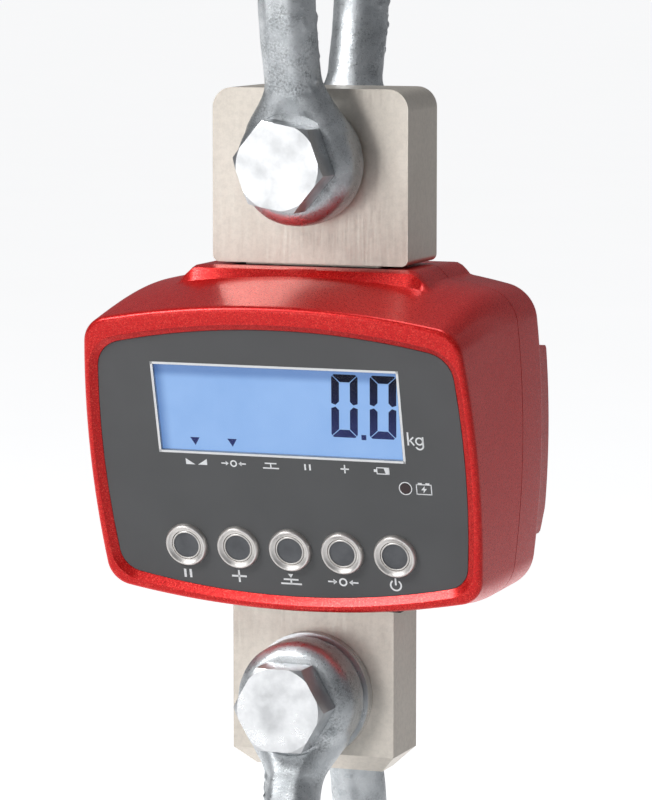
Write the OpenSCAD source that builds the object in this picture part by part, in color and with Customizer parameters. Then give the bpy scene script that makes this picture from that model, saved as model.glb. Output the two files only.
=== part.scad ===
// Crane scale: a load cell in a two-part red housing, hung between two bow shackles.
// Millimetres, +Z up. The front with its display and buttons faces -Y.
// The origin is the inside of the upper bow's crown, where the crane hook bears.

/* [Shackles] */
// Pin axis to the inside of the bow's crown
crown_reach = 105; // [90:1:130]
// Diameter of the forged bar
bar_d = 25; // [20:0.5:28]
// Clear gap between the two ears
jaw_gap = 41; // [40:0.5:48]
// Thickness of each ear
ear_t = 22; // [18:0.5:26]
// Outer diameter of each ear
ear_d = 54; // [48:0.5:62]
// Inside width of the bow at its widest
bow_inside = 68; // [60:1:84]
// Height above the pin at which the legs start to spread
leg_start = 12; // [8:1:20]
// Rounding of the ears' edges
ear_edge = 4; // [1:0.5:5]

/* [Pins] */
// Diameter of the bolts' plain shanks
pin_d = 25; // [20:0.5:28]
// Thread diameter at the nut
thread_d = 24; // [18:0.5:24]
// Size of the hexagons across their flats
hex_af = 36; // [34:0.5:42]
// Thickness of the bolt heads
head_t = 15.4; // [10:0.2:18]
// Thickness of the nuts
nut_t = 19; // [14:0.5:24]
// Length of thread past the nut
tail = 9; // [7:0.5:14]
// Diameter of the split pin's wire
cotter_d = 5; // [3:0.5:6]
// Turn of the upper bolt's head, clockwise seen from the front
upper_turn = 10; // [0:1:59]
// Outer diameter of the spacer washers beside the lower lug
washer_d = 55.5; // [48:0.5:62]
// Radial clearance of the pins in the ears and the load cell
pin_clear = 0.1; // [0.05:0.01:0.1]

/* [Load cell] */
// Distance between the two pin axes
pin_gap = 233; // [228:1:260]
// Width of the upper head
head_w = 90; // [80:1:96]
// Thickness of the upper head
head_d = 38; // [32:0.5:38]
// Top of the head above the upper pin
head_above = 31.8; // [28:0.2:36]
// Bottom of the head below the upper pin
head_below = 44; // [42:0.5:44]
// Width of the neck below the head
neck_w = 62; // [56:1:66]
// Width of the body and the lower lug
lug_w = 75; // [66:1:78]
// Thickness of the neck, the body and the lower lug
lug_d = 30; // [26:0.5:32]
// Bottom of the lug below the lower pin
lug_below = 34.4; // [30:0.2:40]
// Chamfer around the lug's bottom edges
lug_chamfer = 8; // [2:0.5:10]
// Rounding of the head's upper corners
head_r = 9; // [3:0.5:12]
// Diameter of the two gauge pockets
pocket_d = 40; // [30:1:46]
// Depth of each gauge pocket
pocket_depth = 10; // [6:0.5:11]

/* [Housing] */
// Half of the width of the front rim
rim_half_w = 88.8; // [88.8:0.2:100]
// Rim above the display's centre, along the sloping front
rim_top = 47.9; // [47:0.1:52]
// Rim below the display's centre, along the sloping front
rim_bottom = 91.8; // [91:0.2:96]
// Slope of the front from the vertical
tilt = 14.5; // [8:0.5:16]
// Front face ahead of the load cell's middle plane, at the display's centre
face_reach = 58.2; // [58:0.2:66]
// Display's centre below the upper pin
face_drop = 104; // [102:0.5:108]
// Wall of the cast housing
wall = 3; // [2:0.25:3.5]
// Half width at the joint between the shells
joint_half_w = 89.8; // [89.8:0.2:102]
// Joint between the shells behind the load cell's middle plane
joint_y = 4; // [0:0.5:8]
// Depth of the rear cover behind the joint
rear_depth = 36; // [36:0.5:46]
// Rounding of the rear cover's back edge
back_r = 8; // [5:0.5:9]
// How far the battery bulge stands behind the back
bulge = 5; // [3:0.5:8]
// Height of the battery bulge
bulge_h = 83; // [80:1:84]
// Width of the rim's slanting inner edge
cove = 3; // [2:0.25:3.5]
// Height of the rim's crest above the panel
crest = 2.5; // [1.5:0.25:3.5]

/* [Front panel] */
// Half of the panel's width
panel_half_w = 82.6; // [80:0.2:82.8]
// Panel above the display's centre
panel_top = 36.8; // [35:0.2:38]
// Panel below the display's centre
panel_bottom = 85.3; // [82:0.1:85.6]
// Thickness of the panel
panel_t = 2; // [1.5:0.25:3]
// Thickness of the printed film on the panel
film_t = 0.3; // [0.2:0.05:0.5]
// Width of the display window
window_w = 110.4; // [100:0.2:112]
// Height of the display window
window_h = 39.4; // [36:0.2:42]

/* [Push-buttons] */
// Distance between two buttons
button_pitch = 24; // [22:0.5:26]
// Buttons' row below the display's centre
button_drop = 63.5; // [60:0.5:66]
// Diameter of the dished bezels
bezel_d = 19.4; // [17.6:0.2:20.6]
// Diameter of the barrels and of the holes for them
barrel_d = 16; // [14.5:0.5:16.5]
// Diameter of the caps
cap_d = 13; // [10:0.2:13]
// Travel of the caps
button_travel = 1.5; // [0.5:0.1:1.8]
// Radial clearance of the caps in their barrels
cap_clear = 0.15; // [0.1:0.05:0.3]

/* [Hidden] */
$fn = 64;

upper_pin_z = -crown_reach;
lower_pin_z = upper_pin_z - pin_gap;
face_z = upper_pin_z - face_drop;
seat = 0.2;
EPS = 0.01;

// Shackle geometry in the plane of its bow
bow_r = bow_inside / 2 + bar_d / 2;
bow_centre = crown_reach + bar_d / 2 - bow_r;
leg_y = jaw_gap / 2 + ear_t / 2;
leg_span = norm([leg_y, bow_centre - leg_start]);
lean = asin(bow_r / leg_span) - atan2(leg_y, bow_centre - leg_start);
leg_len = sqrt(leg_span * leg_span - bow_r * bow_r);
ear_out = jaw_gap / 2 + ear_t;
// The straight legs are a hair thinner than the arc and end a little way inside it
leg_step = 0.3;
leg_lap = 1;
spot_clear = 1.5;

// Rounded outline bounded by four large arcs and four corner arcs, as points run clockwise.
// Each arc keeps its own centre when the outline is inset, so the inset is parallel.
TOP_STEPS = 16;
CORNER_STEPS = 5;
SIDE_STEPS = 6;
BOTTOM_STEPS = 8;
function crossing(c1, r1, c2, r2) =
    let (d = norm(c2 - c1),
         along = (r1 * r1 - r2 * r2 + d * d) / (2 * d),
         away = sqrt(r1 * r1 - along * along),
         u = (c2 - c1) / d,
         p = c1 + u * along + [u[1], -u[0]] * away,
         q = c1 + u * along - [u[1], -u[0]] * away)
    p[0] > q[0] ? p : q;
function heading(from, to) = atan2(to[1] - from[1], to[0] - from[0]);
function arc_points(centre, r, a, b, steps) =
    [for (k = [0 : steps - 1])
        let (t = a + (b - a) * k / steps) centre + r * [cos(t), sin(t)]];
// shape = [half width, height of the widest point, top, bottom, corner radius above, below,
//          radius of the top arc, of the side arcs, of the bottom arc]
function half_outline(shape, inset) =
    let (top_c = [0, shape[2] - shape[6]],
         side_c = [shape[0] - shape[7], shape[1]],
         bottom_c = [0, shape[3] + shape[8]],
         upper = crossing(top_c, shape[6] - shape[4], side_c, shape[7] - shape[4]),
         lower = crossing(bottom_c, shape[8] - shape[5], side_c, shape[7] - shape[5]))
    concat(
        arc_points(top_c, shape[6] - inset, 90, heading(top_c, upper), TOP_STEPS),
        arc_points(upper, shape[4] - inset, heading(top_c, upper), heading(side_c, upper),
                   CORNER_STEPS),
        arc_points(side_c, shape[7] - inset, heading(side_c, upper), heading(side_c, lower),
                   SIDE_STEPS),
        arc_points(lower, shape[5] - inset, heading(side_c, lower), heading(bottom_c, lower),
                   CORNER_STEPS),
        arc_points(bottom_c, shape[8] - inset, heading(bottom_c, lower), -90, BOTTOM_STEPS),
        [[0, shape[3] + inset]]);
function outline(shape, inset = 0) =
    let (half = half_outline(shape, inset), last = len(half) - 1)
    concat(half, [for (k = [last - 1 : -1 : 1]) [-half[k][0], half[k][1]]]);

// The rim, the panel (both along the sloping front) and the joint between the shells
rim_shape = [rim_half_w, -26, rim_top, -rim_bottom, 13, 12, 397, 480, 384];
panel_shape = [panel_half_w, -22, panel_top, -panel_bottom, 13, 11, 340, 420, 330];
joint_top = 46.5;
joint_bottom = 106;
joint_shape = [joint_half_w, -26, joint_top, -joint_bottom, 17.5, 17.5, 330, 460, 300];
crown_z = face_z + joint_top + 12;
joint_z0 = crown_z - joint_top;
joint_floor = joint_z0 - joint_bottom;

// Flat pad around the load cell's neck, with an S-shaped end at each side
pad_top = upper_pin_z - head_below - 1;
pad_flat = 49;
pad_foot = 61;
pad_fall = 9;
pad_front = -29;
function pad_height(x) =
    let (t = min(1, max(0, (abs(x) - pad_flat) / (pad_foot - pad_flat))))
    pad_top - pad_fall * (1 - cos(180 * t)) / 2 - (abs(x) > pad_foot ? 40 : 0);

// A point of the sloping front: x, height v along the slope, distance ahead of the panel
function on_front(p, ahead) =
    [p[0],
     -face_reach - p[1] * sin(tilt) - ahead * cos(tilt),
     face_z + p[1] * cos(tilt) - ahead * sin(tilt)];
// The front shell's skin between the rim (u = 0) and the joint (u = 1)
gasket_t = 0.6;
function skin_point(rim_pt, joint_pt, u, inset) =
    let (a = on_front(rim_pt, 0),
         x = a[0] + (joint_pt[0] - a[0]) * u,
         y = a[1] + (joint_y - gasket_t / 2 - a[1]) * u,
         z = a[2] + (joint_z0 + joint_pt[1] - a[2]) * sin(90 * u))
    [x, y, joint_pt[1] > 0 && y > pad_front ? max(z, pad_height(x) - inset) : z];
function skin_ring(u, inset) =
    let (rim_pts = outline(rim_shape, inset), joint_pts = outline(joint_shape, inset))
    [for (k = [0 : len(rim_pts) - 1]) skin_point(rim_pts[k], joint_pts[k], u, inset)];
function front_ring(shape, inset, ahead) =
    [for (p = outline(shape, inset)) on_front(p, ahead)];
function rear_ring(y, inset) =
    [for (p = outline(joint_shape, inset))
        [p[0], y, p[1] > 0 ? max(joint_z0 + p[1], pad_height(p[0]) - inset)
                           : joint_z0 + p[1]]];
// The pad's front wall stands where the top of the skin crosses pad_front
pad_u = (pad_front + face_reach + rim_top * sin(tilt))
        / (joint_y + face_reach + rim_top * sin(tilt));
SKIN_STEPS = [1, 0.8, pad_u + 0.03, pad_u - 0.03, 0.4, 0.25, 0.12, 0.04];
function flat_list(rings) = [for (ring = rings) for (p = ring) p];
function band(i, j, n) =
    [for (k = [0 : n - 1]) let (m = (k + 1) % n)
        each [[i * n + k, i * n + m, j * n + m], [i * n + k, j * n + m, j * n + k]]];

// Closed tube of rings: the last ring joins the first
module ring_shell(rings) {
    n = len(rings[0]);
    count = len(rings);
    polyhedron(flat_list(rings),
               [for (i = [0 : count - 1]) each band(i, (i + 1) % count, n)]);
}

// Cup of rings: the first and last rings are closed by fans around their middle points
module ring_cup(rings) {
    n = len(rings[0]);
    count = len(rings);
    middles = [for (ring = [rings[0], rings[count - 1]])
        [0, ring[0][1], (ring[0][2] + ring[n / 2][2]) / 2]];
    polyhedron(concat(flat_list(rings), middles),
               concat([for (i = [0 : count - 2]) each band(i, i + 1, n)],
                      [for (k = [0 : n - 1]) [(k + 1) % n, k, count * n]],
                      [for (k = [0 : n - 1])
                          [(count - 1) * n + k, (count - 1) * n + (k + 1) % n, count * n + 1]]));
}

// Places a part in the frame of the sloping front: x, depth behind the panel's face, height
module in_front() {
    translate([0, -face_reach, face_z]) rotate([tilt, 0, 0]) children();
}

// Cylinder along Y from y0 to y1
module rod_y(d, y0, y1) {
    translate([0, y0, 0]) rotate([-90, 0, 0]) cylinder(d = d, h = y1 - y0);
}

// Box between two corners
module box(a, b) {
    translate(a) cube(b - a);
}

// Rectangular frame in the plane of the front, from depth y0 to y1
module frame_y(w, h, border, y0, y1) {
    difference() {
        box([-w / 2, y0, -h / 2], [w / 2, y1, h / 2]);
        box([-w / 2 + border, y0 - 1, -h / 2 + border],
            [w / 2 - border, y1 + 1, h / 2 - border]);
    }
}

/* Shackles: local frame with the pin axis on Y and the bow upwards */

module ear(side) {
    bevel = ear_edge;
    rotate([-90 * side, 0, 0]) translate([0, 0, jaw_gap / 2])
        rotate_extrude() polygon([
            [0, 0], [ear_d / 2 - bevel / 2, 0], [ear_d / 2, bevel / 2],
            [ear_d / 2, ear_t - bevel], [ear_d / 2 - bevel * 0.3, ear_t - bevel * 0.3],
            [ear_d / 2 - bevel, ear_t], [0, ear_t]]);
}

module bow() {
    difference() {
        union() {
            translate([0, 0, bow_centre]) rotate([90, 0, 90]) rotate([0, 0, -lean])
                rotate_extrude(angle = 180 + 2 * lean) translate([bow_r, 0]) circle(d = bar_d);
            for (side = [-1, 1]) {
                translate([0, side * leg_y, leg_start]) rotate([-side * lean, 0, 0])
                    translate([0, 0, -leg_start])
                        cylinder(d = bar_d - leg_step, h = leg_len + leg_start + leg_lap);
                ear(side);
            }
        }
        rod_y(pin_d + 2 * pin_clear, -ear_out - 5, ear_out + 5);
        // Spot faces for the bolt's head and the nut, where the bar is thicker than the ear
        for (side = [0, 1]) mirror([0, side, 0])
            rod_y(hex_af / cos(30) + 2 * spot_clear, ear_out, ear_out + bar_d);
        box([-ear_d, -jaw_gap / 2, -ear_d], [ear_d, jaw_gap / 2, leg_start + ear_d / 2]);
    }
}

// Hexagon whose outer corners are turned off to a cone on its far face
module hexagon(t) {
    corner = hex_af / cos(30);
    intersection() {
        cylinder(d = corner, h = t, $fn = 6);
        rotate_extrude() polygon([[0, 0], [corner / 2 + 1, 0], [corner / 2 + 1, t - 1.6],
                                  [hex_af / 2 + 0.6, t], [0, t]]);
    }
}

thread_end = ear_out + nut_t + tail;
cotter_y = ear_out + nut_t + tail / 2 + 0.5;
module bolt() {
    difference() {
        union() {
            translate([0, -ear_out - seat, 0]) rotate([90, 0, 0]) hexagon(head_t);
            rod_y(pin_d, -ear_out - seat, ear_out);
            rod_y(thread_d, ear_out, thread_end);
        }
        translate([-pin_d, cotter_y, 0]) rotate([0, 90, 0])
            cylinder(d = cotter_d + 0.4, h = 2 * pin_d);
    }
}

module nut() {
    difference() {
        translate([0, ear_out + seat, 0]) rotate([-90, 0, 0]) hexagon(nut_t);
        rod_y(thread_d + 2 * pin_clear, ear_out - 1, thread_end);
    }
}

cotter_eye = 6;
module cotter() {
    shank = thread_d / 2 + 3.5;
    translate([0, cotter_y, 0]) {
        translate([-shank, 0, 0]) rotate([0, 90, 0]) cylinder(d = cotter_d, h = 2 * shank);
        translate([-shank - cotter_eye + 1, 0, 0]) rotate([90, 0, 0])
            rotate_extrude() translate([cotter_eye, 0]) circle(d = cotter_d * 0.6);
    }
}

module upper_bow() {
    color("silver") translate([0, 0, upper_pin_z]) bow();
}
module upper_bolt() {
    color("gainsboro") translate([0, 0, upper_pin_z]) rotate([0, upper_turn, 0]) bolt();
}
module upper_nut() {
    color("gainsboro") translate([0, 0, upper_pin_z]) rotate([0, upper_turn, 0]) nut();
}
module upper_cotter() {
    color("lightgray") translate([0, 0, upper_pin_z]) rotate([0, upper_turn, 0]) cotter();
}
module lower_bow() {
    color("silver") translate([0, 0, lower_pin_z]) rotate([0, 180, 0]) bow();
}
module lower_bolt() {
    color("gainsboro") translate([0, 0, lower_pin_z]) bolt();
}
module lower_nut() {
    color("gainsboro") translate([0, 0, lower_pin_z]) nut();
}
module lower_cotter() {
    color("lightgray") translate([0, 0, lower_pin_z]) cotter();
}

// Two washers fill the gap between the thinner lug and each ear
washer_gap = jaw_gap / 2 - lug_d / 2;
washer_t = (washer_gap - 3 * seat) / 2;
module lower_washers() {
    color("lightgray") translate([0, 0, lower_pin_z]) difference() {
        for (side = [0, 1], k = [0, 1]) mirror([0, side, 0])
            rod_y(washer_d, lug_d / 2 + seat + k * (washer_t + seat),
                  lug_d / 2 + seat + k * (washer_t + seat) + washer_t);
        rod_y(pin_d + 2 * pin_clear, -ear_out, ear_out);
    }
}

/* Load cell */

cell_top = upper_pin_z + head_above;
head_bottom = upper_pin_z - head_below;
neck_h = 18;
cell_bottom = lower_pin_z - lug_below;
pocket_z = (upper_pin_z + lower_pin_z) / 2 - 12;
standoff_x = 24;
standoff_drop = 77;
standoff_z = face_z - standoff_drop;
standoff_d = 9;
stud_d = 5;
stud_in = 8;
module load_cell() {
    color("tan") difference() {
        union() {
            rotate([90, 0, 0]) translate([0, 0, -head_d / 2]) linear_extrude(head_d)
                rounded_plate(head_w, head_bottom, cell_top, head_r, 3);
            box([-neck_w / 2, -lug_d / 2, head_bottom - neck_h - EPS],
                [neck_w / 2, lug_d / 2, head_bottom + 1]);
            intersection() {
                box([-lug_w / 2, -lug_d / 2, cell_bottom],
                    [lug_w / 2, lug_d / 2, head_bottom - neck_h]);
                rotate([90, 0, 0]) linear_extrude(lug_d + 2, center = true)
                    chamfered(lug_w);
                rotate([90, 0, 90]) linear_extrude(lug_w + 2, center = true)
                    chamfered(lug_d);
            }
        }
        for (z = [upper_pin_z, lower_pin_z]) translate([0, 0, z])
            rod_y(pin_d + 2 * pin_clear, -head_d, head_d);
        for (side = [0, 1]) mirror([0, side, 0]) translate([0, 0, pocket_z]) {
            rod_y(pocket_d, lug_d / 2 - pocket_depth, lug_d);
            rod_y(pocket_d + 4, lug_d / 2 - 1, lug_d);
        }
        for (x = [-standoff_x, standoff_x]) translate([x, 0, standoff_z])
            rod_y(stud_d, lug_d / 2 - stud_in, lug_d);
        translate([lug_w / 2 - 12, 0, cable_z]) rotate([0, 90, 0])
            cylinder(d = cable_d + 0.4, h = 13);
    }
}

// Plate outline with rounded corners above and smaller ones below
module rounded_plate(w, z0, z1, r_top, r_bottom) {
    difference() {
        translate([-w / 2, z0]) square([w, z1 - z0]);
        for (side = [-1, 1]) {
            corner_cut(side, w / 2, z1, r_top, 1);
            corner_cut(side, w / 2, z0, r_bottom, -1);
        }
    }
}
module corner_cut(side, x, z, r, up) {
    translate([side * (x - r), z - up * r]) difference() {
        translate([side > 0 ? 0 : -r - 1, up > 0 ? 0 : -r - 1]) square(r + 1);
        circle(r);
    }
}
module chamfered(w) {
    c = lug_chamfer;
    polygon([[-w / 2, head_bottom], [-w / 2, cell_bottom + c], [-w / 2 + c, cell_bottom],
             [w / 2 - c, cell_bottom], [w / 2, cell_bottom + c], [w / 2, head_bottom]]);
}

module gauge_covers() {
    color("silver") for (side = [0, 1]) mirror([0, side, 0])
        translate([0, 0, pocket_z]) rod_y(pocket_d + 3.6, lug_d / 2 - 1, lug_d / 2);
}

gauge_t = 0.4;
module strain_gauges() {
    color("goldenrod") for (side = [0, 1], x = [-8, 8]) mirror([0, side, 0])
        translate([x, 0, pocket_z])
            box([-4, lug_d / 2 - pocket_depth, -6],
                [4, lug_d / 2 - pocket_depth + gauge_t, 6]);
}

/* Seals around the neck and the lug: a collar with a groove that grips the housing's wall */

opening_clear = 5;
seal_grip = 2.5;
module seal(w, d, z, below) {
    color("dimgray") difference() {
        box([-w / 2 - opening_clear + seat, -d / 2 - opening_clear + seat, z - below],
            [w / 2 + opening_clear - seat, d / 2 + opening_clear - seat, z]);
        box([-w / 2 - seat, -d / 2 - seat, z - below - 1], [w / 2 + seat, d / 2 + seat, z + 1]);
    }
}
module top_seal() {
    seal(neck_w, lug_d, pad_top, wall + seal_grip);
}
// The lower collar sits far enough up that the housing's curved underside hides it
bottom_rise = 4;
module bottom_seal() {
    seal(lug_w, lug_d, joint_floor + bottom_rise + wall + seal_grip, wall + seal_grip);
}

/* Housing */

module neck_openings() {
    box([-neck_w / 2 - opening_clear, -lug_d / 2 - opening_clear, pad_top - 20],
        [neck_w / 2 + opening_clear, lug_d / 2 + opening_clear, pad_top + 20]);
    box([-lug_w / 2 - opening_clear, -lug_d / 2 - opening_clear, joint_floor - 20],
        [lug_w / 2 + opening_clear, lug_d / 2 + opening_clear, joint_floor + 20]);
}

screw_x = joint_half_w - 11;
screw_top = joint_z0 + 23;
screw_bottom = joint_z0 - 86;
screw_d = 4;
boss_d = 11;
function screw_points() = [[-screw_x, screw_top], [screw_x, screw_top],
                           [-screw_x, screw_bottom], [screw_x, screw_bottom]];
ledge = 7;
ledge_t = 2.5;
front_boss_len = 16;
module front_shell() {
    inner = [for (k = [len(SKIN_STEPS) - 2 : -1 : 0]) skin_ring(SKIN_STEPS[k], wall)];
    color("firebrick") difference() {
        union() {
            ring_shell(concat(
                [for (u = SKIN_STEPS) skin_ring(u, 0)],
                [front_ring(rim_shape, 0.6, crest - 0.6),
                 front_ring(rim_shape, 2, crest),
                 front_ring(panel_shape, -cove, crest),
                 front_ring(panel_shape, -seat, 0),
                 front_ring(panel_shape, -seat, -panel_t - film_t),
                 front_ring(panel_shape, ledge, -panel_t - film_t),
                 front_ring(panel_shape, ledge, -panel_t - film_t - ledge_t)],
                inner));
            for (p = screw_points()) translate([p[0], 0, p[1]])
                rod_y(boss_d, joint_y - front_boss_len, joint_y - gasket_t / 2);
        }
        neck_openings();
        for (p = screw_points()) translate([p[0], 0, p[1]])
            rod_y(screw_d - 0.4, joint_y - front_boss_len + 3, joint_y + 1);
        in_front() for (x = button_xs) translate([x, 0, -button_drop])
            rod_y(nut_d + 2 * nut_clear, panel_back - 1, panel_back + nut_h + 2);
    }
}

back_y = joint_y + rear_depth;
bulge_y = back_y + bulge;
bulge_top = face_z + 22;
bulge_bottom = bulge_top - bulge_h;
bulge_inset = 1.2;
door_t = 2.5;
door_half_w = joint_half_w - 12;
door_top = bulge_top - 5;
door_bottom = bulge_bottom + 15;
bay_half_w = door_half_w - 8;
bay_top = door_top - 6;
bay_bottom = door_bottom + 6;
socket_x = 55;
socket_z = joint_floor + 22;
socket_d = 11;
head_sink = 3;
// The battery bulge follows the cover's outline, a little inside it
module bulge_block() {
    intersection() {
        translate([0, bulge_y + 1, joint_z0]) rotate([90, 0, 0])
            linear_extrude(bulge + back_r + 3) polygon(outline(joint_shape, bulge_inset));
        rotate([90, 0, 90]) translate([0, 0, -joint_half_w]) linear_extrude(2 * joint_half_w)
            polygon([[back_y - back_r, bulge_top], [bulge_y - 2, bulge_top],
                     [bulge_y, bulge_top - 2], [bulge_y, bulge_bottom + 11],
                     [bulge_y - 2, bulge_bottom + 4], [bulge_y - 4, bulge_bottom],
                     [back_y - back_r, bulge_bottom]]);
    }
}
module rear_cover() {
    draft = 0.5;
    front_y = joint_y + gasket_t / 2;
    color("firebrick") difference() {
        union() {
            ring_cup(concat(
                [for (a = [90 : -22.5 : 0])
                    rear_ring(back_y - back_r + back_r * sin(a), draft + back_r * (1 - cos(a)))],
                [rear_ring(front_y, 0), rear_ring(front_y, wall),
                 rear_ring(back_y - back_r, wall + draft),
                 rear_ring(back_y - wall, back_r + draft)]));
            difference() {
                bulge_block();
                box([-joint_half_w + back_r + wall + 1.5, 0, bulge_bottom - 5],
                    [joint_half_w - back_r - wall - 1.5, back_y - wall - 0.5, bulge_top + 5]);
            }
            for (p = screw_points()) translate([p[0], 0, p[1]])
                rod_y(boss_d, front_y, back_y - back_r / 2);
        }
        neck_openings();
        for (p = screw_points()) translate([p[0], 0, p[1]]) {
            rod_y(screw_d + 0.6, joint_y - 1, back_y + 1);
            rod_y(screw_d * 2 + 0.6, back_y - head_sink - 3, back_y + 1);
        }
        box([-bay_half_w, 0, bay_bottom], [bay_half_w, bulge_y + 1, bay_top]);
        box([-door_half_w, bulge_y - door_t, door_bottom], [door_half_w, bulge_y + 1, door_top]);
        for (x = [-standoff_x, standoff_x]) translate([x, 0, standoff_z])
            rod_y(stud_d + 0.6, 0, back_y + 1);
        translate([socket_x, 0, socket_z]) rod_y(socket_d + 0.2, 0, back_y + 1);
        for (p = door_points()) translate([p[0], 0, p[1]])
            rod_y(door_screw_d - 0.3, bulge_y - door_t - 6, bulge_y);
    }
}

// Joint seal: a flat ring between the shells' edges, with an ear around each screw
module housing_gasket() {
    edge = 0.4;
    color("dimgray") difference() {
        translate([0, joint_y + gasket_t / 2, joint_z0]) rotate([90, 0, 0])
            linear_extrude(gasket_t) {
                difference() {
                    polygon(outline(joint_shape, edge));
                    polygon(outline(joint_shape, wall));
                }
                intersection() {
                    polygon(outline(joint_shape, edge));
                    for (p = screw_points()) hull() {
                        translate([p[0], p[1] - joint_z0]) circle(d = boss_d - edge);
                        translate([sign(p[0]) * (joint_half_w - 2), p[1] - joint_z0])
                            square(boss_d / 2, center = true);
                    }
                }
            }
        neck_openings();
        for (p = screw_points()) translate([p[0], 0, p[1]])
            rod_y(screw_d + 0.6, joint_y - 2, joint_y + 2);
    }
}

// Pan-head screw along Y with its head towards +Y
module screw_y(d, head, y_head, length) {
    union() {
        rod_y(d, y_head - length, y_head + EPS);
        difference() {
            translate([0, y_head, 0]) rotate([-90, 0, 0]) rotate_extrude()
                polygon([[0, 0], [head / 2, 0], [head / 2, d * 0.35],
                         [head / 2 - d * 0.2, d * 0.6], [0, d * 0.6]]);
            translate([0, y_head + d * 0.25, 0]) rotate([-90, 0, 0])
                cylinder(d = d * 0.8, h = d, $fn = 6);
        }
    }
}
module housing_screws() {
    color("silver") for (p = screw_points()) translate([p[0], 0, p[1]])
        screw_y(screw_d - 0.6, screw_d * 2, back_y - head_sink - 3, rear_depth + 6);
}

module cell_standoffs() {
    color("silver") for (x = [-standoff_x, standoff_x]) translate([x, 0, standoff_z])
        difference() {
            union() {
                translate([0, lug_d / 2, 0]) rotate([-90, 0, 0])
                    cylinder(d = standoff_d / cos(30), h = back_y - wall - lug_d / 2, $fn = 6);
                rod_y(stud_d - 0.1, lug_d / 2 - stud_in + 0.5, lug_d / 2 + 1);
            }
            rod_y(stud_d, back_y - wall - 11, back_y);
        }
}
module cell_screws() {
    color("silver") for (x = [-standoff_x, standoff_x]) translate([x, 0, standoff_z])
        screw_y(stud_d - 0.1, stud_d * 1.9, back_y, 12);
}

/* Front panel, display and board: in the frame of the sloping front */

led_x = 55.2;
led_drop = 32.1;
led_d = 4.6;
button_xs = [for (k = [-2 : 2]) k * button_pitch];
module panel_cuts(w, h) {
    box([-w / 2, -5, -h / 2], [w / 2, 10, h / 2]);
    for (x = button_xs) translate([x, 0, -button_drop]) rod_y(barrel_d + 0.2, -5, 10);
    translate([led_x, 0, -led_drop]) rod_y(led_d + 0.2, -5, 10);
}
module front_panel() {
    color("gray") in_front() difference() {
        translate([0, film_t + panel_t, 0]) rotate([90, 0, 0]) linear_extrude(panel_t)
            polygon(outline(panel_shape));
        panel_cuts(window_w + 0.4, window_h + 0.4);
    }
}
module panel_film() {
    color("dimgray") in_front() difference() {
        translate([0, film_t, 0]) rotate([90, 0, 0]) linear_extrude(film_t)
            polygon(outline(panel_shape));
        panel_cuts(window_w, window_h);
    }
}
module display_window() {
    color("lightblue", 0.5) in_front()
        box([-window_w / 2, film_t, -window_h / 2],
            [window_w / 2, film_t + panel_t, window_h / 2]);
}

panel_back = film_t + panel_t;
glass_t = 2.8;
light_t = 4;
lcd_y = panel_back + 0.4;
light_y = lcd_y + glass_t + 0.3;
board_y = light_y + light_t + 1.5;
board_t = 1.6;
board_w = 146;
board_top = 24;
board_bottom = -46;
// The display cell reaches past the window by this much at its sides and ends
glass_side = 2;
glass_end = 3;
carrier_t = 1.4;
module lcd_glass() {
    color("lightsteelblue") in_front()
        box([-window_w / 2 - glass_side, lcd_y, -window_h / 2 - glass_end],
            [window_w / 2 + glass_side, lcd_y + glass_t, window_h / 2 + glass_end]);
}
module lcd_backlight() {
    color("lightcyan") in_front()
        box([-window_w / 2 - glass_side, light_y, -window_h / 2 - glass_side],
            [window_w / 2 + glass_side, light_y + light_t, window_h / 2 + glass_side]);
}
module lcd_carrier() {
    color("darkslategray") in_front()
        frame_y(window_w + 2 * (glass_side + seat + carrier_t),
                window_h + 2 * (glass_end + seat + carrier_t), carrier_t,
                panel_back + 0.1, board_y - 0.1);
}
module main_board() {
    color("green") in_front() difference() {
        box([-board_w / 2, board_y, board_bottom], [board_w / 2, board_y + board_t, board_top]);
        post_holes();
        translate([led_x, 0, -led_drop]) rod_y(led_d + 3, board_y - 1, board_y + 3);
    }
}
function post_points() = [for (x = [-1, 1], z = [board_bottom + 5, board_top - 5])
                          [x * (board_w / 2 - 5), z]];
post_d = 6;
board_screw_d = 3;
module post_holes() {
    for (p = post_points()) translate([p[0], 0, p[1]])
        rod_y(board_screw_d + 0.2, panel_back + 1.5, board_y + board_t + 1);
}
module board_posts() {
    color("silver") in_front() difference() {
        for (p = post_points()) translate([p[0], 0, p[1]])
            rod_y(post_d, panel_back, board_y);
        post_holes();
    }
}
module board_screws() {
    color("silver") in_front() for (p = post_points()) translate([p[0], 0, p[1]])
        screw_y(board_screw_d, board_screw_d * 1.9, board_y + board_t, 8);
}

// Two plug-in connectors stand on the back of the board, one for each lead
cable_d = 5;
cable_z = face_z - 24;
lead_x = 62;
connector_h = 6;
connector_v = -24;
module board_connectors() {
    color("ivory") in_front() for (x = [-lead_x, lead_x])
        box([x - 6, board_y + board_t, connector_v - 5],
            [x + 6, board_y + board_t + connector_h, connector_v + 5]);
}
// Where a lead's level run along Y meets the sloping back of its connector
connector_y = -face_reach + (board_y + board_t + connector_h) * cos(tilt)
              - connector_v * sin(tilt) + 1;
module cell_cable() {
    bend = lead_x - lug_w / 2 - 8;
    run_y = -bend;
    color("black") translate([0, 0, cable_z]) {
        translate([lug_w / 2 - 11, 0, 0]) rotate([0, 90, 0]) cylinder(d = cable_d, h = 19);
        translate([lead_x - bend, -bend, 0]) rotate_extrude(angle = 90)
            translate([bend, 0]) circle(d = cable_d);
        translate([lead_x, 0, 0]) rod_y(cable_d, connector_y + 1, run_y);
    }
}
module battery_lead() {
    color("black") translate([-lead_x, 0, cable_z])
        rod_y(cable_d, connector_y + 1, tray_front - 0.2);
}

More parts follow.
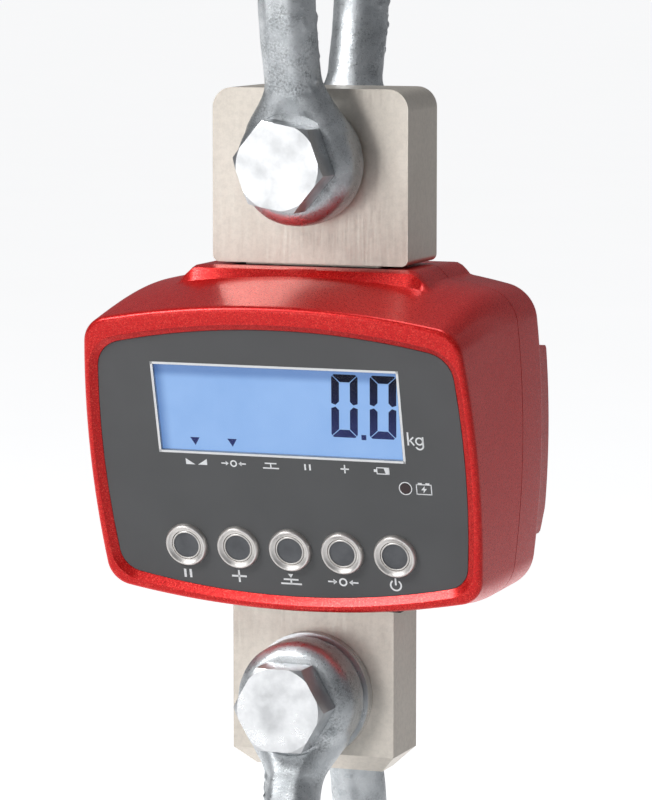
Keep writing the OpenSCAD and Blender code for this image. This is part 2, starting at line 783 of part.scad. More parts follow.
module charge_led() {
    color("darkred") in_front() translate([led_x, 0, -led_drop])
        rod_y(led_d, -0.2, board_y + 0.5);
}
module buzzer() {
    color("black") in_front() translate([30, 0, -30]) difference() {
        rod_y(12, board_y + board_t, board_y + board_t + 7);
        rod_y(2, board_y + board_t + 4, board_y + board_t + 8);
    }
}

/* Push-buttons */

rim_h = 2.2;
dish_h = 1.1;
cap_top = 1.2;
cap_len = 8;
barrel_len = 17;
barrel_bore = cap_d + 2 * cap_clear;
bore_depth = cap_len - cap_top + button_travel + 1;
nut_d = barrel_d + 4.5;
nut_h = 3;
nut_clear = 0.3;
module button_barrels() {
    color("silver") in_front() for (x = button_xs) translate([x, 0, -button_drop])
        difference() {
            union() {
                rotate([90, 0, 0]) rotate_extrude()
                    polygon([[0, 0], [bezel_d / 2, 0], [bezel_d / 2 - 0.2, rim_h * 0.6],
                             [bezel_d / 2 - 0.6, rim_h * 0.9], [bezel_d / 2 - 1.1, rim_h],
                             [bezel_d / 2 - 1.6, rim_h * 0.95],
                             [barrel_bore / 2 + 0.2, dish_h], [0, dish_h]]);
                rod_y(barrel_d, 0, barrel_len);
                for (t = [-3, 3]) translate([t, 0, 0])
                    box([-0.4, barrel_len, -1.5], [0.4, barrel_len + 4, 1.5]);
            }
            rod_y(barrel_bore, -rim_h - 1, bore_depth);
        }
}
module button_nuts() {
    color("silver") in_front() for (x = button_xs) translate([x, 0, -button_drop])
        difference() {
            rod_y(nut_d, panel_back + 0.05, panel_back + nut_h);
            rod_y(barrel_d + 0.1, panel_back - 1, panel_back + 5);
        }
}
module button_cap(index) {
    color("dimgray") in_front() translate([button_xs[index], 0, -button_drop])
        rotate([90, 0, 0]) rotate_extrude()
            polygon([[0, cap_top - cap_len], [cap_d / 2, cap_top - cap_len],
                     [cap_d / 2, cap_top - 0.5], [cap_d / 2 - 0.5, cap_top], [0, cap_top]]);
}
module hold_button() {
    button_cap(0);
}
module memory_button() {
    button_cap(1);
}
module tare_button() {
    button_cap(2);
}
module zero_button() {
    button_cap(3);
}
module power_button() {
    button_cap(4);
}

/* Battery bay and charging socket in the rear cover */

tray_front = lug_d / 2 + 3.5;
tray_wall = 1.5;
cell_d = 14.2;
cell_len = 50.5;
cell_rows = 3;
tray_clear = 0.3;
tray_back = bulge_y - door_t - 2.2;
module battery_tray() {
    w = bay_half_w - tray_clear;
    color("black") difference() {
        box([-w, tray_front, bay_bottom + tray_clear], [w, tray_back, bay_top - tray_clear]);
        box([-w + tray_wall, tray_front + tray_wall, bay_bottom + tray_clear + tray_wall],
            [w - tray_wall, tray_back + 1, bay_top - tray_clear - tray_wall]);
    }
}
module battery_cells() {
    pitch = (bay_top - bay_bottom - 2 * tray_wall - 1) / cell_rows;
    color("seagreen") for (side = [-1, 1], k = [0 : cell_rows - 1])
        translate([side * (cell_len / 2 + 4), tray_front + tray_wall + cell_d / 2 + 0.3,
                   bay_bottom + tray_wall + 0.5 + pitch * (k + 0.5)])
            rotate([0, 90, 0]) {
                cylinder(d = cell_d, h = cell_len - 1.4, center = true);
                cylinder(d = 5, h = cell_len, center = true);
            }
}

door_screw_d = 3;
function door_points() = [for (x = [-1, 1], z = [door_bottom + 6, door_top - 6])
                          [x * (door_half_w - 3.5), z]];
module battery_door() {
    color("firebrick") difference() {
        box([-door_half_w + 0.3, bulge_y - door_t + 0.05, door_bottom + 0.3],
            [door_half_w - 0.3, bulge_y, door_top - 0.3]);
        for (p = door_points()) translate([p[0], 0, p[1]]) {
            rod_y(door_screw_d + 0.4, 0, bulge_y + 1);
            rod_y(door_screw_d * 1.9 + 0.4, bulge_y - 1.8, bulge_y + 1);
        }
    }
}
module door_seal() {
    color("dimgray") translate([0, 0, (bay_top + bay_bottom) / 2])
        frame_y(2 * bay_half_w - 0.6, bay_top - bay_bottom - 0.6, 2, tray_back + 0.2,
                bulge_y - door_t);
}
module door_screws() {
    color("silver") for (p = door_points()) translate([p[0], 0, p[1]])
        screw_y(door_screw_d - 0.4, door_screw_d * 1.9, bulge_y - 1.7, 7);
}

module charge_socket() {
    color("black") translate([socket_x, 0, socket_z]) difference() {
        union() {
            rod_y(socket_d, back_y - 14, back_y + EPS);
            rod_y(socket_d + 4, back_y, back_y + 1.6);
            for (x = [-2.5, 2.5]) translate([x, 0, 0])
                box([-0.5, back_y - 18, -1], [0.5, back_y - 13.9, 1]);
        }
        difference() {
            rod_y(5.6, back_y - 9, back_y + 3);
            rod_y(2, back_y - 10, back_y);
        }
    }
}
module socket_nut() {
    color("silver") translate([socket_x, 0, socket_z]) difference() {
        translate([0, back_y - wall - 2.2, 0]) rotate([-90, 0, 0])
            cylinder(d = socket_d + 5, h = 2.1, $fn = 6);
        rod_y(socket_d + 0.1, 0, back_y);
    }
}
module socket_cap() {
    color("black") translate([socket_x, 0, socket_z]) {
        rod_y(socket_d + 3, back_y + 1.7, back_y + 3.4);
        difference() {
            rod_y(5.4, back_y - 3, back_y + 1.8);
            rod_y(2.6, back_y - 4, back_y + 1);
        }
    }
}

upper_bow();
upper_bolt();
upper_nut();
upper_cotter();
load_cell();
gauge_covers();
strain_gauges();
top_seal();
bottom_seal();
front_shell();
rear_cover();
housing_gasket();
housing_screws();
cell_standoffs();
cell_screws();
front_panel();
panel_film();
display_window();
lcd_glass();
lcd_backlight();
lcd_carrier();
main_board();
board_posts();
board_screws();
board_connectors();
button_barrels();
button_nuts();
hold_button();
memory_button();
tare_button();
zero_button();
power_button();
charge_led();
buzzer();
battery_tray();
battery_cells();
battery_door();
door_seal();
door_screws();
charge_socket();
socket_nut();
socket_cap();
cell_cable();
battery_lead();
lower_bow();
lower_bolt();
lower_nut();
lower_cotter();
lower_washers();
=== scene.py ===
import math

import bmesh
import bpy
import numpy as np
from mathutils import Matrix, Vector, noise


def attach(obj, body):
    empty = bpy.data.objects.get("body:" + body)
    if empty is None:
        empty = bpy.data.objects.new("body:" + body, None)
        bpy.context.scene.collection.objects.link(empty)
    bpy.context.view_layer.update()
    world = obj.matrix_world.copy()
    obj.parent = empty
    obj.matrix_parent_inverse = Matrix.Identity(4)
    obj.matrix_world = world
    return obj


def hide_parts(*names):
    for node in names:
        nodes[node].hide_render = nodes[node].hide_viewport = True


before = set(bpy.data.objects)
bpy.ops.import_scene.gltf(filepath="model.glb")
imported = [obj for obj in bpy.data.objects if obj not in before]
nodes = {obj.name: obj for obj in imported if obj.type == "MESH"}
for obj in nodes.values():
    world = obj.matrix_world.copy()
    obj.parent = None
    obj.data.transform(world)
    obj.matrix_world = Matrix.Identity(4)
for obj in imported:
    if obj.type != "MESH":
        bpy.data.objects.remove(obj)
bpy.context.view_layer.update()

MM = 0.001
scene = bpy.context.scene
scene.view_settings.view_transform = "Standard"

# Camera: a long lens a little right of the front, looking slightly down at the display.
turn, dip = math.radians(20.52), math.radians(6.72)
sight = Vector((-math.sin(turn) * math.cos(dip), math.cos(turn) * math.cos(dip), -math.sin(dip)))
camera = bpy.data.objects.new("camera", bpy.data.cameras.new("camera"))
scene.collection.objects.link(camera)
camera.location = (0.62106, -1.65795, -0.00161)
camera.rotation_euler = sight.to_track_quat("-Z", "Y").to_euler()
camera.data.lens = 183.1
camera.data.clip_start = 0.01
camera.data.clip_end = 200
scene.camera = camera


# Studio: a soft key from the upper left, a low front light, a top light and a weak strip behind
# the right side. The pale floor glows behind and to the left of the hanging scale, and stays
# dimmer to the right, so that side's shiny red keeps its depth.
def area_light(name, place, aim, size, power):
    lamp = bpy.data.lights.new(name, "AREA")
    lamp.shape = "RECTANGLE"
    lamp.size, lamp.size_y = size
    lamp.energy = power
    holder = bpy.data.objects.new(name, lamp)
    holder.location = place
    holder.rotation_euler = (Vector(aim) - Vector(place)).to_track_quat("-Z", "Y").to_euler()
    scene.collection.objects.link(holder)


heart = (0, 0, -0.22)
area_light("key", (-1.5, -1.9, 1.5), heart, (1.0, 1.0), 47)
area_light("front_soft", (-0.95, -2.35, -0.42), heart, (0.75, 1.7), 8)
area_light("top", (0.1, 0.5, 2.0), heart, (0.9, 0.9), 15)
area_light("edge_strip", (1.05, 2.2, 0.1), heart, (0.12, 1.8), 0.4)
world = bpy.data.worlds.new("studio")
world.use_nodes = True
world.node_tree.nodes["Background"].inputs["Color"].default_value = (0.40, 0.41, 0.43, 1)
world.node_tree.nodes["Background"].inputs["Strength"].default_value = 0.38
scene.world = world


def new_material(name):
    material = bpy.data.materials.new(name)
    material.use_nodes = True
    tree = material.node_tree
    return material, tree, tree.nodes["Principled BSDF"]


def add_node(tree, kind, **values):
    made = tree.nodes.new("ShaderNode" + kind)
    for key, value in values.items():
        if key in made.inputs:
            made.inputs[key].default_value = value
        else:
            setattr(made, key, value)
    return made


def speckle(tree, scale, detail=4.0, stretch=(1, 1, 1), rough=0.55):
    """Noise over the piece's own coordinates, scale in cells per metre."""
    place = add_node(tree, "TexCoord")
    stretched = add_node(tree, "Mapping")
    stretched.inputs["Scale"].default_value = stretch
    grain = add_node(tree, "TexNoise", Scale=scale, Detail=detail, Roughness=rough)
    tree.links.new(place.outputs["Object"], stretched.inputs["Vector"])
    tree.links.new(stretched.outputs["Vector"], grain.inputs["Vector"])
    return grain.outputs["Fac"]


def ramp(tree, fac, stops):
    made = add_node(tree, "ValToRGB")
    tree.links.new(fac, made.inputs["Fac"])
    band = made.color_ramp
    while len(band.elements) < len(stops):
        band.elements.new(0.5)
    for element, (at, value) in zip(band.elements, stops):
        element.position = at
        element.color = tuple(value) + (1,) if hasattr(value, "__len__") else (value,) * 3 + (1,)
    return made.outputs["Color"]


def bump(tree, shader, height, strength, depth, under=None):
    made = add_node(tree, "Bump", Strength=strength, Distance=depth)
    tree.links.new(height, made.inputs["Height"])
    if under is not None:
        tree.links.new(under, made.inputs["Normal"])
    tree.links.new(made.outputs["Normal"], shader.inputs["Normal"])
    return made.outputs["Normal"]


def surface(name, dark, light, metallic, rough, scale, depth, stretch=(1, 1, 1), coat=0.0):
    """A material whose colour, roughness and relief all vary with a fine grain."""
    material, tree, shader = new_material(name)
    fine = speckle(tree, scale, 6.0, stretch)
    wide = speckle(tree, scale / 12, 3.0, stretch)
    tree.links.new(ramp(tree, wide, [(0.35, dark), (0.68, light)]), shader.inputs["Base Color"])
    tree.links.new(ramp(tree, fine, [(0.3, rough - 0.07), (0.7, rough + 0.07)]),
                   shader.inputs["Roughness"])
    bump(tree, shader, fine, 0.5, depth)
    shader.inputs["Metallic"].default_value = metallic
    shader.inputs["Coat Weight"].default_value = coat
    shader.inputs["Coat Roughness"].default_value = 0.12
    return material


def own_axes(tree):
    """The piece's own coordinates, one output for each axis."""
    place = add_node(tree, "TexCoord")
    axes = add_node(tree, "SeparateXYZ")
    tree.links.new(place.outputs["Object"], axes.inputs["Vector"])
    return axes.outputs


def fade(tree, along, start, end):
    """0 up to the place start and 1 from the place end, eased between them."""
    made = add_node(tree, "MapRange", interpolation_type="SMOOTHSTEP")
    made.inputs["From Min"].default_value = start
    made.inputs["From Max"].default_value = end
    tree.links.new(along, made.inputs["Value"])
    return made.outputs["Result"]


def glowing_floor():
    dim_x, bright_x = 0.45, -0.15
    dim_y, bright_y = -0.6, 0.4
    least_glow, full_glow = 0.12, 0.80
    material = surface("pale_floor", (0.86, 0.87, 0.88), (0.90, 0.90, 0.91), 0.0, 0.85, 30, 0.0002)
    tree = material.node_tree
    axes = own_axes(tree)
    both = add_node(tree, "Math", operation="MULTIPLY")
    tree.links.new(fade(tree, axes["X"], dim_x, bright_x), both.inputs[0])
    tree.links.new(fade(tree, axes["Y"], dim_y, bright_y), both.inputs[1])
    level = add_node(tree, "MapRange")
    level.inputs["To Min"].default_value = least_glow
    level.inputs["To Max"].default_value = full_glow
    tree.links.new(both.outputs["Value"], level.inputs["Value"])
    shader = tree.nodes["Principled BSDF"]
    shader.inputs["Emission Color"].default_value = (1, 1, 1, 1)
    tree.links.new(level.outputs["Result"], shader.inputs["Emission Strength"])
    return material


FLOOR_Z, FLOOR_HALF = -0.75, 60
floor_mesh = bpy.data.meshes.new("floor")
shape = bmesh.new()
bmesh.ops.create_grid(shape, x_segments=8, y_segments=8, size=FLOOR_HALF)
bmesh.ops.translate(shape, verts=shape.verts, vec=(0, 0, FLOOR_Z))
shape.to_mesh(floor_mesh)
shape.free()
floor = bpy.data.objects.new("floor", floor_mesh)
scene.collection.objects.link(floor)
floor_mesh.materials.append(glowing_floor())


# Shackle bows: forged from 25 mm bar and hot-dip galvanised. Each eye runs into its leg in a
# hollow curve, a flat strip is left along the leg where the flash was trimmed, and the zinc
# coat has grey spangles, dark specks and small drips.
UPPER_PIN, LOWER_PIN = -0.105, -0.338
bar, crown_reach = 25.0, 105.0
bow_r = 46.5
bow_centre = crown_reach + bar / 2 - bow_r
leg_y, leg_start = 31.5, 12.0
span = math.hypot(leg_y, bow_centre - leg_start)
lean = math.asin(bow_r / span) - math.atan2(leg_y, bow_centre - leg_start)


def add_mesh(name, points, faces, material=None, sharp=32, smooth=True):
    """A mesh object from points in metres; edges steeper than sharp degrees stay crisp."""
    mesh = bpy.data.meshes.new(name)
    mesh.from_pydata([tuple(p) for p in points], [], faces)
    mesh.validate()
    if smooth:
        mesh.shade_smooth()
        mesh.set_sharp_from_angle(angle=math.radians(sharp))
    made = bpy.data.objects.new(name, mesh)
    scene.collection.objects.link(made)
    if material:
        mesh.materials.append(material)
    return made


def tube(rings, closed=False):
    """Points and faces of a skin over rings that all have the same number of points."""
    n, points, faces = len(rings[0]), [p for ring in rings for p in ring], []
    for i in range(len(rings) if closed else len(rings) - 1):
        j = (i + 1) % len(rings)
        for k in range(n):
            m = (k + 1) % n
            faces.append((i * n + k, i * n + m, j * n + m, j * n + k))
    if not closed:
        faces.append(tuple(range(n))[::-1])
        faces.append(tuple((len(rings) - 1) * n + k for k in range(n)))
    return points, faces


def lathe(profile, steps=96, closed=False):
    """Skin of (radius, height) pairs turned about Y, height along +Y, in millimetres."""
    rings = []
    for radius, height in profile:
        rings.append([(MM * radius * math.cos(2 * math.pi * k / steps), MM * height,
                       MM * radius * math.sin(2 * math.pi * k / steps)) for k in range(steps)])
    return tube(rings, closed)


def fix_normals(thing):
    shape = bmesh.new()
    shape.from_mesh(thing.data)
    bmesh.ops.recalc_face_normals(shape, faces=shape.faces)
    shape.to_mesh(thing.data)
    shape.free()


def settle(thing):
    """Applies the piece's modifiers to its mesh."""
    seen = thing.evaluated_get(bpy.context.evaluated_depsgraph_get())
    mesh = bpy.data.meshes.new_from_object(seen)
    old = thing.data
    thing.modifiers.clear()
    thing.data = mesh
    bpy.data.meshes.remove(old)


def carve(thing, other, how="DIFFERENCE"):
    fix_normals(other)
    cut = thing.modifiers.new("carve", "BOOLEAN")
    cut.operation, cut.solver, cut.object = how, "EXACT", other
    settle(thing)
    bpy.data.objects.remove(other)


def block(low, high):
    """A box between two corners in millimetres, to cut with."""
    points = [[MM * (low, high)[(k >> a) & 1][a] for a in range(3)] for k in range(8)]
    faces = [(0, 1, 3, 2), (4, 6, 7, 5), (0, 4, 5, 1), (2, 3, 7, 6), (0, 2, 6, 4), (1, 5, 7, 3)]
    return add_mesh("block", points, faces, smooth=False)


def bow_path():
    """Points of the bar's centre line in the bow's plane, y and z."""
    points = []
    top_y, top_z = bow_r * math.cos(lean), bow_centre - bow_r * math.sin(lean)
    for k in range(7):
        points.append((leg_y, -8 + 20 * k / 6))
    for k in range(1, 16):
        points.append((leg_y + (top_y - leg_y) * k / 16,
                       leg_start + (top_z - leg_start) * k / 16))
    for k in range(33):
        angle = -lean + (math.pi + 2 * lean) * k / 32
        points.append((bow_r * math.cos(angle), bow_centre + bow_r * math.sin(angle)))
    return points + [(-y, z) for y, z in points[21::-1]]


def bow_points():
    """Skin of the bar, which widens across the eye below neck_z and is flat on its outer side."""
    neck_z, neck_len, widen, thin, trimmed = 36, 24, 12.0, 1.2, 1.3
    path = np.array(bow_path())
    for _ in range(3):
        path[1:-1] = (path[:-2] + 2 * path[1:-1] + path[2:]) / 4
    rings = []
    for k, (y, z) in enumerate(path):
        ahead = path[min(k + 1, len(path) - 1)] - path[max(k - 1, 0)]
        ahead = ahead / np.linalg.norm(ahead)
        out = np.array([ahead[1], -ahead[0]])
        swell = min(1, max(0, (neck_z - z) / neck_len))
        swell = swell * swell * (3 - 2 * swell)
        wide = bar / 2 + widen * swell
        deep = bar / 2 - thin * swell
        ring = []
        for j in range(40):
            t = 2 * math.pi * j / 40
            away = min(deep * math.sin(t), deep - trimmed)
            ring.append((MM * wide * math.cos(t), MM * (y + out[0] * away),
                         MM * (z + out[1] * away)))
        rings.append(ring)
    return tube(rings)


def ear_points(side):
    inner, outer, radius = 20.6, 42.4, 26.9
    profile = [(0.01, inner), (radius - 3, inner)]
    profile += [(radius - 3 + 3 * math.sin(a), inner + 3 - 3 * math.cos(a))
                for a in np.radians([30, 60, 90])]
    profile += [(radius - 8 + 8 * math.cos(a), outer - 7 + 7 * math.sin(a))
                for a in np.radians([0, 20, 40, 60, 75, 90])]
    profile.append((0.01, outer))
    return lathe([(r, side * h) for r, h in profile], 64)


def zinc_coat():
    material, tree, shader = new_material("galvanised")
    specks = speckle(tree, 1000, 6.0, rough=0.75)
    cloud = speckle(tree, 60, 4.0)
    patches = ramp(tree, speckle(tree, 75, 3.0), [(0.44, 0.0), (0.64, 0.6)])
    spangle = add_node(tree, "TexVoronoi", Scale=260.0)
    place = add_node(tree, "TexCoord")
    tree.links.new(place.outputs["Object"], spangle.inputs["Vector"])
    base = ramp(tree, cloud, [(0.3, (0.50, 0.53, 0.55)), (0.55, (0.64, 0.67, 0.69)),
                              (0.75, (0.76, 0.79, 0.81))])
    dirt = ramp(tree, specks, [(0.40, (0.10, 0.11, 0.11)), (0.55, (1, 1, 1))])
    mixed = add_node(tree, "Mix", data_type="RGBA", blend_type="MULTIPLY")
    tree.links.new(patches, mixed.inputs["Factor"])
    tree.links.new(base, mixed.inputs["A"])
    tree.links.new(dirt, mixed.inputs["B"])
    flecks = add_node(tree, "Mix", data_type="RGBA", blend_type="SOFT_LIGHT")
    flecks.inputs["Factor"].default_value = 0.25
    grey = add_node(tree, "HueSaturation", Saturation=0.0)
    tree.links.new(spangle.outputs["Color"], grey.inputs["Color"])
    tree.links.new(mixed.outputs["Result"], flecks.inputs["A"])
    tree.links.new(grey.outputs["Color"], flecks.inputs["B"])
    tree.links.new(flecks.outputs["Result"], shader.inputs["Base Color"])
    tree.links.new(ramp(tree, specks, [(0.35, 0.52), (0.6, 0.27)]), shader.inputs["Roughness"])
    under = bump(tree, shader, cloud, 0.5, 0.0008)
    bump(tree, shader, specks, 0.7, 0.00022, under)
    shader.inputs["Metallic"].default_value = 0.95
    return material


galvanised = zinc_coat()


def forged_bow(name, seed):
    """The bar and its two eyes grown into one skin, roughened by the zinc, then machined: the
    bore, a spot face outside each eye, and the jaw between them."""
    bore_r, spot_r, spot_y, past, jaw_y = 12.6, 22.2, 42.45, 60, 20.5
    made = add_mesh(name, *bow_points())
    fix_normals(made)
    for side in (-1, 1):
        ear = add_mesh("ear", *ear_points(side))
        fix_normals(ear)
        with_ear = bmesh.new()
        with_ear.from_mesh(made.data)
        with_ear.from_mesh(ear.data)
        with_ear.to_mesh(made.data)
        with_ear.free()
        bpy.data.objects.remove(ear)
    skin = made.modifiers.new("skin", "REMESH")
    skin.mode, skin.voxel_size = "VOXEL", 0.0012
    relax = made.modifiers.new("relax", "SMOOTH")
    relax.factor, relax.iterations = 0.5, 7
    settle(made)
    mesh = made.data
    place = np.empty(len(mesh.vertices) * 3)
    mesh.vertices.foreach_get("co", place)
    place = place.reshape(-1, 3)
    way = np.empty(len(mesh.vertices) * 3)
    mesh.vertices.foreach_get("normal", way)
    way = way.reshape(-1, 3)
    for k, (p, n) in enumerate(zip(place, way)):
        q = Vector(p) / MM + Vector((seed, 3 * seed, seed))
        rise = 0.22 * noise.noise(q / 14) + 0.12 * noise.noise(q / 4.5) - 0.18
        if p[2] > 0.030 and n[0] > 0.8:
            rise += 2.2 * max(0, noise.noise(q / 3.6) - 0.33)
        flat = 1 - min(1, max(0, (abs(p[1]) / MM - 40.5) / 1.2)) * (abs(p[2]) < 0.030)
        place[k] = p + n * rise * MM * flat
    mesh.vertices.foreach_set("co", place.ravel())
    hole = add_mesh("hole", *lathe([(bore_r, -past), (bore_r, past)], 96))
    carve(made, hole)
    for side in (-1, 1):
        carve(made, add_mesh("spot", *lathe([(spot_r, side * spot_y), (spot_r, side * past)], 96)))
    carve(made, block((-40, -jaw_y, -40), (40, jaw_y, 36)))
    made.data.shade_smooth()
    made.data.set_sharp_from_angle(angle=math.radians(50))
    made.data.materials.clear()
    made.data.materials.append(galvanised)
    return made


def place_mesh(thing, matrix):
    thing.data.transform(matrix)
    thing.data.update()


upper_bow = forged_bow("forged_upper_bow", 0)
place_mesh(upper_bow, Matrix.Translation((0, 0, UPPER_PIN)))
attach(upper_bow, "upper_shackle")
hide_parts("upper_bow")
lower_bow = forged_bow("forged_lower_bow", 37)
place_mesh(lower_bow, Matrix.Translation((0, 0, LOWER_PIN)) @ Matrix.Rotation(math.pi, 4, "Y"))
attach(lower_bow, "lower_shackle")
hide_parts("lower_bow")


# Bolts, nuts and washers: machined hexagon bolts in bright zinc, with eased corners, and a
# rolled thread on the tail that stands out of each nut.
def keep(name, material, round_off=0.0, steps=2, limit=35):
    """A CAD node keeps its shape: it gets its material and, where asked, rounded edges."""
    thing = nodes[name]
    thing.data.materials.clear()
    thing.data.materials.append(material)
    if round_off:
        soft = thing.modifiers.new("soft_edges", "BEVEL")
        soft.width, soft.segments = round_off * MM, steps
        soft.limit_method, soft.angle_limit = "ANGLE", math.radians(limit)
        soft.harden_normals = True
    return thing


NUT_END = 0.0617


def bright_zinc():
    material, tree, shader = new_material("bright_zinc")
    scuffs = speckle(tree, 900, 5.0, (1, 0.25, 1), rough=0.65)
    cloud = speckle(tree, 90, 4.0)
    tree.links.new(ramp(tree, cloud, [(0.3, (0.55, 0.56, 0.57)), (0.7, (0.80, 0.81, 0.82))]),
                   shader.inputs["Base Color"])
    tree.links.new(ramp(tree, cloud, [(0.25, 0.33), (0.7, 0.26)]), shader.inputs["Roughness"])
    shader.inputs["Metallic"].default_value = 1.0
    under = bump(tree, shader, scuffs, 0.35, 0.00012)
    place = add_node(tree, "TexCoord")
    ridges = add_node(tree, "TexWave", Scale=105.0, bands_direction="Y")
    tree.links.new(place.outputs["Object"], ridges.inputs["Vector"])
    past = add_node(tree, "Math", operation="GREATER_THAN")
    past.inputs[1].default_value = NUT_END
    tree.links.new(own_axes(tree)["Y"], past.inputs[0])
    thread = add_node(tree, "Math", operation="MULTIPLY")
    tree.links.new(ridges.outputs["Fac"], thread.inputs[0])
    tree.links.new(past.outputs["Value"], thread.inputs[1])
    bump(tree, shader, thread.outputs["Value"], 1.0, 0.0015, under)
    return material


zinc = bright_zinc()
for name in ("upper_bolt", "lower_bolt"):
    keep(name, zinc, 0.7, 3, 25)
for name in ("upper_nut", "lower_nut"):
    keep(name, zinc, 0.5, 2, 25)
keep("lower_washers", zinc, 0.3)


# Split pins: half-round wire folded double, its eye against the bolt, its legs bent apart.
def wire(points, thick, steps=14):
    points = [Vector(p) for p in points]
    rings, side = [], None
    for k, p in enumerate(points):
        ahead = (points[min(k + 1, len(points) - 1)] - points[max(k - 1, 0)]).normalized()
        if side is None:
            side = ahead.orthogonal().normalized()
        side = (side - ahead * side.dot(ahead)).normalized()
        over = ahead.cross(side)
        rings.append([MM * (p + thick / 2 * (side * math.cos(t) + over * math.sin(t)))
                      for t in np.linspace(0, 2 * math.pi, steps, endpoint=False)])
    return tube(rings)


def split_pin(name, pin_z, spin, body, node):
    eye, shank, y = 4.6, 12.6, 66.5
    line = [(15.0, y, -3.6), (13.8, y, -2.0), (12.4, y, -1.15), (-shank, y, -1.1)]
    line += [(-shank - 0.4 - eye + eye * math.cos(a), y, eye * math.sin(a))
             for a in np.radians(np.arange(-16, -345, -12))]
    line += [(-shank, y, 1.1), (12.4, y, 1.15), (13.8, y, 2.0), (15.0, y, 3.6)]
    made = add_mesh(name, *wire(line, 2.0), material=zinc)
    place_mesh(made, Matrix.Translation((0, 0, pin_z)) @ Matrix.Rotation(math.radians(spin), 4, "Y"))
    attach(made, body)
    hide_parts(node)


split_pin("upper_split_pin", UPPER_PIN, 10, "upper_pin", "upper_cotter")
split_pin("lower_split_pin", LOWER_PIN, 0, "lower_pin", "lower_cotter")


# Load cell: one machined steel block, nickel plated over a fine upright grind, edges broken.
def ground_steel():
    material, tree, shader = new_material("ground_steel")
    lines = speckle(tree, 1500, 5.0, (1, 1, 0.04), rough=0.6)
    mottle = speckle(tree, 500, 5.0, rough=0.7)
    cloud = speckle(tree, 14, 2.0)
    tone = ramp(tree, cloud, [(0.3, (0.76, 0.70, 0.62)), (0.7, (0.84, 0.78, 0.70))])
    fleck = ramp(tree, mottle, [(0.35, (0.86, 0.86, 0.86)), (0.6, (1, 1, 1))])
    mixed = add_node(tree, "Mix", data_type="RGBA", blend_type="MULTIPLY")
    mixed.inputs["Factor"].default_value = 0.7
    tree.links.new(tone, mixed.inputs["A"])
    tree.links.new(fleck, mixed.inputs["B"])
    tree.links.new(mixed.outputs["Result"], shader.inputs["Base Color"])
    tree.links.new(ramp(tree, lines, [(0.3, 0.50), (0.7, 0.38)]), shader.inputs["Roughness"])
    under = bump(tree, shader, lines, 0.35, 0.00010)
    bump(tree, shader, mottle, 0.25, 0.00010, under)
    shader.inputs["Metallic"].default_value = 0.85
    return material


keep("load_cell", ground_steel(), 0.5, 2)
plain_steel = surface("plain_steel", (0.42, 0.42, 0.43), (0.62, 0.62, 0.63), 1.0, 0.34, 900, 0.00005)
keep("gauge_covers", plain_steel)
keep("strain_gauges", surface("gauge_foil", (0.50, 0.30, 0.10), (0.78, 0.55, 0.25), 0.9, 0.32,
                              1600, 0.00003, (1, 1, 0.1)))


# Housing: two aluminium castings in red metallic-flake enamel. Their outlines are bounded by
# four long arcs and four corner arcs; the front one carries a raised rim with a slanting inner
# edge around the panel, and both rise to a flat pad around the load cell's neck.
tilt = math.radians(14.5)
FACE_Y, FACE_Z = -58.2, -209.0
JOINT_Y, JOINT_Z = 4.0, FACE_Z + 12.0

# Each outline: half width, height of its widest place, top, bottom, the radii of the upper and
# lower corners, and the radii of the long arcs at the top, the sides and the bottom.
RIM = (88.8, -26.0, 47.9, -91.8, 13.0, 12.0, 397.0, 480.0, 384.0)
PANEL = (82.6, -22.0, 36.8, -85.3, 13.0, 11.0, 340.0, 420.0, 330.0)
JOINT = (89.8, -26.0, 46.5, -106.0, 17.5, 17.5, 330.0, 460.0, 300.0)
PAD_TOP = -150.0
WALL, CREST, COVE = 3.0, 2.5, 3.0


def crossing(c1, r1, c2, r2):
    """Where two circles cross, on the right: the centre of a corner arc that eases into both."""
    d = np.linalg.norm(c2 - c1)
    along = (r1 * r1 - r2 * r2 + d * d) / (2 * d)
    away = math.sqrt(r1 * r1 - along * along)
    u = (c2 - c1) / d
    p, q = (c1 + u * along + s * away * np.array([u[1], -u[0]]) for s in (1, -1))
    return p if p[0] > q[0] else q


def heading(a, b):
    return math.atan2(b[1] - a[1], b[0] - a[0])


def outline(form, inset=0.0):
    """Closed outline of arcs, run clockwise from the top; the inset stays parallel."""
    half_w, widest, top, bottom, r_up, r_down, r_top, r_side, r_low = form
    top_c, low_c = np.array([0, top - r_top]), np.array([0, bottom + r_low])
    side_c = np.array([half_w - r_side, widest])
    up = crossing(top_c, r_top - r_up, side_c, r_side - r_up)
    down = crossing(low_c, r_low - r_down, side_c, r_side - r_down)

    def arc(c, r, a, b, steps):
        return [c + r * np.array([math.cos(t), math.sin(t)])
                for t in np.linspace(a, b, steps, endpoint=False)]

    half = (arc(top_c, r_top - inset, math.pi / 2, heading(top_c, up), 40)
            + arc(up, r_up - inset, heading(top_c, up), heading(side_c, up), 16)
            + arc(side_c, r_side - inset, heading(side_c, up), heading(side_c, down), 16)
            + arc(down, r_down - inset, heading(side_c, down), heading(low_c, down), 16)
            + arc(low_c, r_low - inset, heading(low_c, down), -math.pi / 2, 24)
            + [np.array([0, bottom + inset])])
    return half + [np.array([-p[0], p[1]]) for p in half[-2:0:-1]]


def on_front(x, v, ahead):
    """A point of the sloping front, in metres: x, height along the slope, distance ahead."""
    return Vector((x, FACE_Y - v * math.sin(tilt) - ahead * math.cos(tilt),
                   FACE_Z + v * math.cos(tilt) - ahead * math.sin(tilt))) * MM


def ease(t):
    t = min(1.0, max(0.0, t))
    return t * t * (3 - 2 * t)


